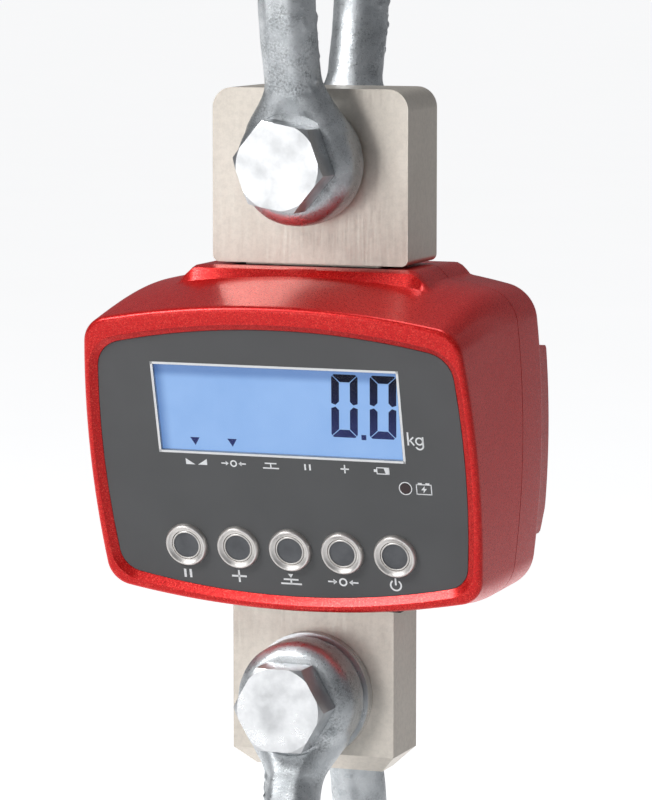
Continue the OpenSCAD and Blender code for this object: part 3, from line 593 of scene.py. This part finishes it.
def pad_height(x):
    """The pad's top: flat in the middle, a slope at each end, then far below the roof."""
    flat_half, slope_w, slope_drop, end_x, end_w, end_drop = 49, 12, 9, 60.5, 8, 40
    t = min(1, max(0, (abs(x) - flat_half) / slope_w))
    return (PAD_TOP - slope_drop * (1 - math.cos(math.pi * t)) / 2
            - end_drop * ease((abs(x) - end_x) / end_w))


def skin_ring(u, inset):
    """A ring of the front casting's side wall: u is 0 at the sloping front and 1 at the joint."""
    ring = []
    for rim, joint in zip(outline(RIM, inset), outline(JOINT, inset)):
        a = on_front(rim[0], rim[1], 0) / MM
        x = a[0] + (joint[0] - a[0]) * u
        y = a[1] + (JOINT_Y - 0.3 - a[1]) * u
        z = a[2] + (JOINT_Z + joint[1] - a[2]) * math.sin(math.pi / 2 * u)
        if joint[1] > 0:
            rise = max(0, pad_height(x) - inset - z)
            z += rise * ease((y + 31.5) / 5)
        ring.append((x * MM, y * MM, z * MM))
    return ring


def front_ring(form, inset, ahead):
    return [tuple(on_front(p[0], p[1], ahead)) for p in outline(form, inset)]


def rear_ring(y, inset):
    """A ring of the rear casting's side wall, at the depth y."""
    ring = []
    for p in outline(JOINT, inset):
        z = JOINT_Z + p[1]
        if p[1] > 0:
            z = max(z, pad_height(p[0]) - inset)
        ring.append((p[0] * MM, y * MM, z * MM))
    return ring


def neck_cutters():
    """The openings for the load cell's neck and lug, through the top and bottom of the housing."""
    return [block((-36, -20, -170), (36, 20, -130)), block((-42.5, -20, -323), (42.5, 20, -283))]


def flake_enamel():
    material, tree, shader = new_material("red_enamel")
    place = add_node(tree, "TexCoord")
    flakes = add_node(tree, "TexVoronoi", Scale=2600.0)
    tree.links.new(place.outputs["Object"], flakes.inputs["Vector"])
    split = add_node(tree, "SeparateColor")
    tree.links.new(flakes.outputs["Color"], split.inputs["Color"])
    # Each flake gets a random red tone; the brightest stop paints glints on a few flakes, a painted
    # highlight.
    tone = ramp(tree, split.outputs["Red"], [(0.0, (0.62, 0.003, 0.004)),
                                             (0.75, (0.78, 0.006, 0.006)),
                                             (0.97, (0.95, 0.07, 0.05))])
    tree.links.new(tone, shader.inputs["Base Color"])
    tree.links.new(ramp(tree, split.outputs["Green"], [(0.0, 0.42), (1.0, 0.26)]),
                   shader.inputs["Roughness"])
    peel = speckle(tree, 700, 3.0)
    under = bump(tree, shader, peel, 0.35, 0.00018)
    bump(tree, shader, split.outputs["Blue"], 0.25, 0.00004, under)
    shader.inputs["Metallic"].default_value = 0.45
    shader.inputs["Coat Weight"].default_value = 0.2
    shader.inputs["Coat Roughness"].default_value = 0.14
    return material


red = flake_enamel()
steps_u = sorted(set(np.round(np.concatenate([np.linspace(0.02, 1, 26),
                                              np.linspace(0.34, 0.50, 17)]), 4)), reverse=True)
rings = [skin_ring(u, 0) for u in steps_u]
RIM_R = 2.2
for a in np.radians([0, 18, 36, 54, 72, 90]):
    rings.append(front_ring(RIM, RIM_R * (1 - math.cos(a)), CREST - RIM_R + RIM_R * math.sin(a)))
for inset, ahead in ((-COVE - 0.7, CREST), (-COVE - 0.25, CREST - 0.1), (-COVE + 0.1, CREST - 0.45),
                     (-0.9, 0.55), (-0.35, 0.12), (-0.2, 0.0), (-0.2, -2.3), (7, -2.3), (7, -4.8)):
    rings.append(front_ring(PANEL, inset, ahead))
for u in (0.04, 0.2, 0.36, 0.42, 0.46, 0.7, 1.0):
    rings.append(skin_ring(u, WALL))
front_shell = add_mesh("front_casting", *tube(rings, closed=True), sharp=28)
fix_normals(front_shell)
for cutter in neck_cutters():
    carve(front_shell, cutter)
front_shell.data.shade_smooth()
front_shell.data.set_sharp_from_angle(angle=math.radians(28))
front_shell.data.materials.clear()
front_shell.data.materials.append(red)
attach(front_shell, "scale")
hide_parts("front_shell")

BACK_Y, BULGE_Y, EDGE_R = 40.0, 45.0, 8.0
cover_rings = [rear_ring(BACK_Y - EDGE_R + EDGE_R * math.sin(a), 0.5 + EDGE_R * (1 - math.cos(a)))
               for a in np.radians(np.arange(90, -1, -10))]
cover_rings += [rear_ring(4.3, 0), rear_ring(4.3, WALL), rear_ring(BACK_Y - EDGE_R, WALL + 0.5),
                rear_ring(BACK_Y - WALL, EDGE_R + 0.5)]
cover = add_mesh("rear_casting", *tube(cover_rings), sharp=28)
fix_normals(cover)
bulge_ring = [[(p[0] * MM, y * MM, (JOINT_Z + p[1]) * MM) for p in outline(JOINT, 1.2)]
              for y in (BACK_Y - 10, BULGE_Y + 1)]
bulge = add_mesh("bulge", *tube(bulge_ring))
fix_normals(bulge)
side_view = [(30, -187)] + [(43 + 2 * math.sin(a), -189 + 2 * math.cos(a))
                            for a in np.radians([0, 22, 45, 68, 90])]
side_view += [(45, -257), (44.6, -260), (43, -264), (42.2, -266.5), (41, -269.2), (39, -270),
              (30, -270)]
side_block = add_mesh("side_block", *tube([[(x * MM, y * MM, z * MM) for y, z in side_view]
                                           for x in (-95, 95)]))
carve(bulge, side_block, "INTERSECT")
carve(bulge, block((-77, 0, -300), (77, 36.5, -150)))
ease_bulge = bulge.modifiers.new("ease", "BEVEL")
ease_bulge.width, ease_bulge.segments = 0.9 * MM, 2
ease_bulge.limit_method, ease_bulge.angle_limit = "ANGLE", math.radians(40)
settle(bulge)
carve(cover, bulge, "UNION")
battery_bay = block((-69.8, 0, -249), (69.8, 50, -198))
door_seat = block((-77.8, 42.5, -255), (77.8, 50, -192))
cutters = neck_cutters() + [battery_bay, door_seat]
corner_holes = [(side * 78.8, z, 4.3, 34) for side in (-1, 1) for z in (-174.0, -283.0)]
standoff_holes = [(side * 24, -286, 2.8, 20) for side in (-1, 1)]
socket_hole = (55, -281.0, 5.6, 20)
for x, z, r, y in corner_holes + standoff_holes + [socket_hole]:
    hole = add_mesh("hole", *lathe([(r, y), (r, 60)], 40))
    place_mesh(hole, Matrix.Translation((x * MM, 0, z * MM)))
    cutters.append(hole)
for cutter in cutters:
    carve(cover, cutter)
cover.data.shade_smooth()
cover.data.set_sharp_from_angle(angle=math.radians(28))
cover.data.materials.clear()
cover.data.materials.append(red)
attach(cover, "scale")
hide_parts("rear_cover")
keep("battery_door", red, 0.4)


# Seals: black rubber collars where the load cell leaves the housing, and flat rings in the
# joint and under the battery door. The socket's plug is the same rubber.
rubber = surface("black_rubber", (0.012, 0.012, 0.013), (0.03, 0.03, 0.032), 0.0, 0.62, 1500, 0.00008)
for name in ("top_seal", "bottom_seal", "housing_gasket", "door_seal", "socket_cap"):
    keep(name, rubber)


# Screws, standoffs and nuts: plain steel hardware. The screws hold the two castings together,
# the door on the cover, the board on its posts and the housing on the load cell.
for name in ("housing_screws", "cell_screws", "door_screws", "cell_standoffs", "board_posts",
             "board_screws", "button_nuts", "socket_nut"):
    keep(name, plain_steel)


# Front panel: a plate with a dark grey printed film. White ink draws the frame of the display,
# the row of marks under it and the marks under the buttons, all of plain signs.
keep("front_panel", surface("panel_plate", (0.50, 0.51, 0.53), (0.62, 0.63, 0.65), 0.9, 0.4, 900,
                            0.00004))


def film_material():
    material, tree, shader = new_material("grey_film")
    pebble = speckle(tree, 2600, 3.0)
    cloud = speckle(tree, 25, 2.0)
    tree.links.new(ramp(tree, cloud, [(0.3, (0.086, 0.088, 0.090)), (0.7, (0.100, 0.102, 0.105))]),
                   shader.inputs["Base Color"])
    tree.links.new(ramp(tree, pebble, [(0.3, 0.42), (0.7, 0.54)]), shader.inputs["Roughness"])
    bump(tree, shader, pebble, 0.3, 0.00005)
    return material


keep("panel_film", film_material())
ink = surface("white_ink", (0.86, 0.87, 0.88), (0.93, 0.94, 0.95), 0.0, 0.45, 1800, 0.00003)


class Print:
    """Flat shapes laid on the sloping front, in millimetres from the display's centre."""

    def __init__(self, ahead):
        self.points, self.faces, self.ahead = [], [], ahead

    def fill(self, outline_points):
        first = len(self.points)
        self.points += [on_front(x, v, self.ahead) for x, v in outline_points]
        self.faces.append(tuple(range(first, len(self.points)))[::-1])

    def line(self, points, width, closed=False):
        ends = list(zip(points, points[1:])) + ([(points[-1], points[0])] if closed else [])
        for (x0, v0), (x1, v1) in ends:
            length = math.hypot(x1 - x0, v1 - v0)
            dx, dv = (x1 - x0) / length * width / 2, (v1 - v0) / length * width / 2
            self.fill([(x0 - dx - dv, v0 - dv + dx), (x1 + dx - dv, v1 + dv + dx),
                       (x1 + dx + dv, v1 + dv - dx), (x0 - dx + dv, v0 - dv - dx)])

    def ring(self, x, v, r_in, r_out, a0=0.0, a1=360.0, steps=36):
        angles = np.radians(np.linspace(a0, a1, steps + 1))
        for a, b in zip(angles, angles[1:]):
            self.fill([(x + r * math.cos(t), v + r * math.sin(t))
                       for r, t in ((r_in, a), (r_out, a), (r_out, b), (r_in, b))])

    def make(self, name, material):
        made = add_mesh(name, self.points, self.faces, material, smooth=False)
        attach(made, "scale")
        return made


def zero_mark(sheet, x, v, h):
    """An arrow from each side towards a nought."""
    sheet.ring(x, v, h * 0.26, h * 0.44)
    for side in (-1, 1):
        sheet.line([(x + side * h * 1.5, v), (x + side * h * 0.85, v)], h * 0.16)
        sheet.fill([(x + side * h * 0.62, v), (x + side * h * 1.0, v + h * 0.3),
                    (x + side * h * 1.0, v - h * 0.3)])


marks = Print(0.05)
W, H, BORDER = 56.35, 20.8, 1.05
for low, high in (((-W, H - BORDER), (W, H)), ((-W, -H), (W, -H + BORDER)),
                  ((-W, -H), (-W + BORDER, H)), ((W - BORDER, -H), (W, H))):
    marks.fill([low, (high[0], low[1]), high, (low[0], high[1])])

# The row under the display: steady, zero, tare, hold, memory and battery.
row = -24.6
for side in (-1, 1):
    marks.fill([(-39.5 + side * 4.9, row - 1.3), (-39.5 + side * 4.9, row + 1.5),
                (-39.5 + side * 0.6, row - 1.3)])
zero_mark(marks, -22.3, row, 3.6)
marks.line([(-8.6, row - 1.3), (-1.8, row - 1.3)], 0.6)
marks.line([(-5.2, row - 1.3), (-5.2, row + 0.5)], 0.6)
marks.line([(-7.6, row + 0.9), (-2.8, row + 0.9)], 0.6)
for x in (10.5, 12.7):
    marks.line([(x, row - 1.0), (x, row + 1.0)], 0.8)
marks.line([(26.9, row), (30.1, row)], 0.65)
marks.line([(28.5, row - 1.6), (28.5, row + 1.6)], 0.65)
marks.line([(43.0, row - 1.4), (48.4, row - 1.4), (48.4, row + 1.4), (43.0, row + 1.4)], 0.45, True)
marks.fill([(41.6, row - 0.6), (42.8, row - 0.6), (42.8, row + 0.6), (41.6, row + 0.6)])
marks.fill([(46.9, row - 1.2), (48.4, row - 1.2), (48.4, row + 1.2), (46.1, row + 1.2)])

# The signs under the buttons: hold, memory, tare, zero and power.
under, shift = -77.2, -1.0
for x in (-1.3, 1.3):
    marks.line([(-48 + shift + x, under - 1.4), (-48 + shift + x, under + 1.4)], 1.1)
marks.line([(-27 + shift, under), (-21 + shift, under)], 0.9)
marks.line([(-24 + shift, under - 2.4), (-24 + shift, under + 2.4)], 0.9)
marks.line([(shift - 4.4, under - 2.2), (shift + 4.4, under - 2.2)], 0.8)
marks.line([(shift, under - 2.2), (shift, under - 0.4)], 0.8)
marks.line([(shift - 3, under - 0.2), (shift + 3, under - 0.2)], 0.8)
marks.fill([(shift - 1.2, under + 2.4), (shift + 1.2, under + 2.4), (shift, under + 0.6)])
zero_mark(marks, 24 + shift, under, 4.4)
marks.ring(48 + shift, under, 2.0, 2.75, 125, 415)
marks.line([(48 + shift, under + 0.4), (48 + shift, under + 2.9)], 0.8)

# The unit beside the digits.
kg_x, kg_v = 58.2, -10.4
marks.line([(kg_x, kg_v - 1.6), (kg_x, kg_v + 3.6)], 0.75)
marks.line([(kg_x + 0.4, kg_v - 0.1), (kg_x + 2.2, kg_v + 1.6)], 0.7)
marks.line([(kg_x + 0.9, kg_v + 0.3), (kg_x + 2.4, kg_v - 1.6)], 0.7)
marks.ring(kg_x + 5.0, kg_v + 0.05, 1.15, 1.85)
marks.line([(kg_x + 6.6, kg_v + 1.7), (kg_x + 6.6, kg_v - 2.0)], 0.75)
marks.ring(kg_x + 5.0, kg_v - 2.0, 1.25, 1.97, 200, 360, 16)

# A ring round the charge light, and a battery with a bolt of lightning.
marks.ring(55.2, -32.1, 2.55, 3.0)
marks.line([(60.2, -34.4), (66.8, -34.4), (66.8, -30.0), (60.2, -30.0)], 0.45, True)
for x in (61.8, 65.2):
    marks.line([(x - 0.6, -29.5), (x + 0.6, -29.5)], 0.6)
marks.fill([(63.9, -30.5), (62.2, -32.5), (63.3, -32.5), (63.1, -33.9), (64.8, -31.8), (63.7, -31.8)])
marks_piece = marks.make("panel_marks", ink)


# Display: a clear window over a pale blue lit liquid-crystal cell. Its digits and pointers are
# dark blue segments a hair above the cell.
def lit_cell():
    """Even pale blue, with painted shade that darkens it towards the window's left end and under its
    upper edge.
    """
    material, tree, shader = new_material("lit_cell")
    axes = own_axes(tree)
    haze = speckle(tree, 60, 3.0)
    colour = ramp(tree, haze, [(0.3, (0.275, 0.480, 0.870)), (0.7, (0.305, 0.515, 0.905))])
    # Painted shade: the blue is multiplied darker towards the window's left end and under its upper
    # edge.
    for axis, dark, clear in (("X", -0.0560, -0.0500), ("Z", -0.1925, -0.1965)):
        painted_edge_shade = ramp(tree, fade(tree, axes[axis], dark, clear),
                    [(0.0, (0.50, 0.56, 0.66)), (1.0, (1, 1, 1))])
        mixed = add_node(tree, "Mix", data_type="RGBA", blend_type="MULTIPLY")
        mixed.inputs["Factor"].default_value = 1.0
        tree.links.new(colour, mixed.inputs["A"])
        tree.links.new(painted_edge_shade, mixed.inputs["B"])
        colour = mixed.outputs["Result"]
    tree.links.new(colour, shader.inputs["Emission Color"])
    tree.links.new(ramp(tree, haze, [(0.3, (0.02, 0.03, 0.05)), (0.7, (0.03, 0.04, 0.06))]),
                   shader.inputs["Base Color"])
    shader.inputs["Emission Strength"].default_value = 0.98
    shader.inputs["Roughness"].default_value = 0.35
    bump(tree, shader, haze, 0.1, 0.00005)
    return material


keep("lcd_glass", lit_cell())
keep("lcd_backlight", surface("light_guide", (0.80, 0.86, 0.94), (0.90, 0.94, 1.0), 0.0, 0.3, 400,
                              0.00004))


def segment_blue():
    """Dark blue with painted shade: lighter at the foot of the digits and darker towards their top."""
    foot_z, head_z = -0.224, -0.194
    material, tree, shader = new_material("segment_blue")
    rise = add_node(tree, "MapRange")
    rise.inputs["From Min"].default_value = foot_z
    rise.inputs["From Max"].default_value = head_z
    tree.links.new(own_axes(tree)["Z"], rise.inputs["Value"])
    # Painted shade: the segments' blue runs from lighter at their foot to darkest at their top.
    tree.links.new(ramp(tree, rise.outputs["Result"], [(0.0, (0.045, 0.060, 0.23)),
                                                      (0.6, (0.014, 0.020, 0.085)),
                                                      (1.0, (0.003, 0.005, 0.025))]),
                   shader.inputs["Base Color"])
    grain = speckle(tree, 900, 3.0)
    tree.links.new(ramp(tree, grain, [(0.3, 0.5), (0.7, 0.6)]), shader.inputs["Roughness"])
    shader.inputs["Specular IOR Level"].default_value = 0.2
    return material


segments = Print(-2.62)
DIGIT_W, DIGIT_H, BAR_W = 11.9, 28.6, 3.5
LEAN = 2.45 / DIGIT_H


def slanted(x, v, shape_points):
    segments.fill([(x + px + (pv + DIGIT_H / 2) * LEAN, v + pv) for px, pv in shape_points])


def digit_nought(x, v):
    """Seven-segment nought around x, v: six bars with slanted ends, then leant to the right."""
    hw, hh, t, gap, ease_c = DIGIT_W / 2, DIGIT_H / 2, BAR_W, 0.28, 0.9
    for up in (1, -1):
        bar_points = [(-hw + gap + ease_c, up * hh), (hw - gap - ease_c, up * hh),
                      (hw - gap - 0.3, up * (hh - 0.5)), (hw - t - gap, up * (hh - t)),
                      (-hw + t + gap, up * (hh - t)), (-hw + gap + 0.3, up * (hh - 0.5))]
        slanted(x, v, bar_points if up > 0 else bar_points[::-1])
        for side in (1, -1):
            post = [(side * hw, up * (hh - ease_c - 0.5)), (side * (hw - 0.35), up * (hh - 0.75)),
                    (side * (hw - t), up * (hh - t - gap)), (side * (hw - t), up * 2.0),
                    (side * (hw - t * 0.55), up * 0.45), (side * hw, up * 1.1)]
            slanted(x, v, post[::-1] if up * side > 0 else post)


digit_nought(28.75, 3.1)
digit_nought(46.05, 3.1)
segments.fill([(36.3, -12.0), (38.5, -12.0), (38.6, -9.7), (36.4, -9.7)])
for x in (-40.2, -23.0):
    segments.fill([(x - 2.2, -14.3), (x, -17.9), (x + 2.2, -14.3)])
digits = segments.make("display_digits", segment_blue())


def clear_window():
    material, tree, shader = new_material("clear_window")
    dust = speckle(tree, 500, 3.0)
    tree.links.new(ramp(tree, dust, [(0.3, 0.05), (0.7, 0.09)]), shader.inputs["Roughness"])
    bump(tree, shader, dust, 0.05, 0.00002)
    shader.inputs["Base Color"].default_value = (0.02, 0.022, 0.025, 1)
    shader.inputs["Alpha"].default_value = 0.05
    return material


keep("display_window", clear_window())


# Push-buttons: dished stainless bezels on threaded barrels, each with two solder tags. Each cap
# is a steel ring around a dark grey centre that lies slightly lower.
def turned_steel():
    material, tree, shader = new_material("turned_steel")
    fine = speckle(tree, 1500, 5.0)
    cloud = speckle(tree, 160, 3.0)
    tree.links.new(ramp(tree, cloud, [(0.3, (0.78, 0.75, 0.72)), (0.7, (0.90, 0.87, 0.84))]),
                   shader.inputs["Base Color"])
    tree.links.new(ramp(tree, fine, [(0.3, 0.36), (0.7, 0.48)]), shader.inputs["Roughness"])
    bump(tree, shader, fine, 0.2, 0.00004)
    shader.inputs["Metallic"].default_value = 1.0
    return material


stainless = turned_steel()
cap_grey = surface("cap_grey", (0.100, 0.104, 0.112), (0.135, 0.140, 0.150), 0.4, 0.40, 1500, 0.00004)
inward = Matrix.Rotation(tilt, 4, "X")


def seat_on_front(x, v):
    return Matrix.Translation(on_front(x, v, 0)) @ inward


bezel_profile = [(6.65, 9.3), (6.65, -0.9), (6.75, -1.1), (7.0, -1.2), (7.4, -1.36), (8.0, -1.85),
                 (8.35, -2.12), (8.6, -2.2), (8.9, -2.14), (9.2, -1.85), (9.45, -1.3), (9.62, -0.6),
                 (9.68, 0.0), (8.0, 0.0), (8.0, 17.0), (0.01, 17.0), (0.01, 9.3)]
bezel_mesh = lathe(bezel_profile, 72, closed=True)
PITCH, BUTTON_V = 24, -63.5
points, faces = [], []
for k in range(-2, 3):
    first = len(points)
    points += [seat_on_front(PITCH * k, BUTTON_V) @ Vector(p) for p in bezel_mesh[0]]
    faces += [tuple(first + i for i in face) for face in bezel_mesh[1]]
    for t in (-3, 3):
        tag = block((t - 0.4, 17, -1.5), (t + 0.4, 21, 1.5))
        first = len(points)
        points += [seat_on_front(PITCH * k, BUTTON_V) @ v.co for v in tag.data.vertices]
        faces += [tuple(first + i for i in p.vertices) for p in tag.data.polygons]
        bpy.data.objects.remove(tag)
bezels = add_mesh("button_bezels", points, faces, stainless)
fix_normals(bezels)
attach(bezels, "scale")
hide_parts("button_barrels")

centre_r = 5.75
cap_profile = [(0.01, 6.8), (6.45, 6.8), (6.5, 6.7), (6.5, -0.7), (6.42, -1.0), (6.25, -1.15),
               (6.0, -1.2), (5.8, -1.12), (5.72, -0.9), (5.68, -0.7), (5.3, -0.66), (3.5, -0.60),
               (1.5, -0.57), (0.01, -0.56)]
for index, key in enumerate(("hold", "memory", "tare", "zero", "power")):
    cap = add_mesh(key + "_cap", *lathe(cap_profile, 64), material=stainless)
    cap.data.materials.append(cap_grey)
    for face in cap.data.polygons:
        middle = face.center / MM
        if math.hypot(middle[0], middle[2]) < centre_r and middle[1] < 0:
            face.material_index = 1
    fix_normals(cap)
    place_mesh(cap, seat_on_front(PITCH * (index - 2), BUTTON_V))
    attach(cap, key + "_key")
    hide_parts(key + "_button")


# Charge light: a dark red plastic lens, pushed into its hole in the panel beside the charge
# mark. It is not lit.
keep("charge_led", surface("led_lens", (0.020, 0.006, 0.006), (0.050, 0.012, 0.012), 0.0, 0.14, 700,
                           0.00002, coat=0.5), 0.2)


# Inside: the circuit board with its carrier, connectors and buzzer, the two leads, the battery
# tray and its cells, and the charging socket at the back.
def board_green():
    material, tree, shader = new_material("board_green")
    place = add_node(tree, "TexCoord")
    tracks = add_node(tree, "TexBrick", Scale=160.0)
    tracks.inputs["Color1"].default_value = (0.012, 0.11, 0.045, 1)
    tracks.inputs["Color2"].default_value = (0.016, 0.14, 0.055, 1)
    tracks.inputs["Mortar"].default_value = (0.03, 0.22, 0.09, 1)
    tree.links.new(place.outputs["Object"], tracks.inputs["Vector"])
    tree.links.new(tracks.outputs["Color"], shader.inputs["Base Color"])
    grain = speckle(tree, 1200, 3.0)
    tree.links.new(ramp(tree, grain, [(0.3, 0.28), (0.7, 0.40)]), shader.inputs["Roughness"])
    bump(tree, shader, tracks.outputs["Fac"], 0.2, 0.00005)
    return material


keep("main_board", board_green())
black = surface("black_plastic", (0.018, 0.018, 0.019), (0.036, 0.036, 0.038), 0.0, 0.5, 1300, 0.00006)
for name in ("lcd_carrier", "buzzer", "battery_tray", "charge_socket"):
    keep(name, black)
keep("board_connectors", surface("ivory_plastic", (0.66, 0.62, 0.50), (0.76, 0.72, 0.60), 0.0, 0.48,
                                 1100, 0.00004))
keep("battery_cells", surface("cell_wrap", (0.02, 0.22, 0.10), (0.035, 0.30, 0.14), 0.0, 0.25, 500,
                              0.00004, (0.1, 1, 1)))
sheath = surface("cable_sheath", (0.016, 0.016, 0.017), (0.035, 0.035, 0.037), 0.0, 0.5, 1500, 0.00005)
for name in ("cell_cable", "battery_lead"):
    keep(name, sheath)
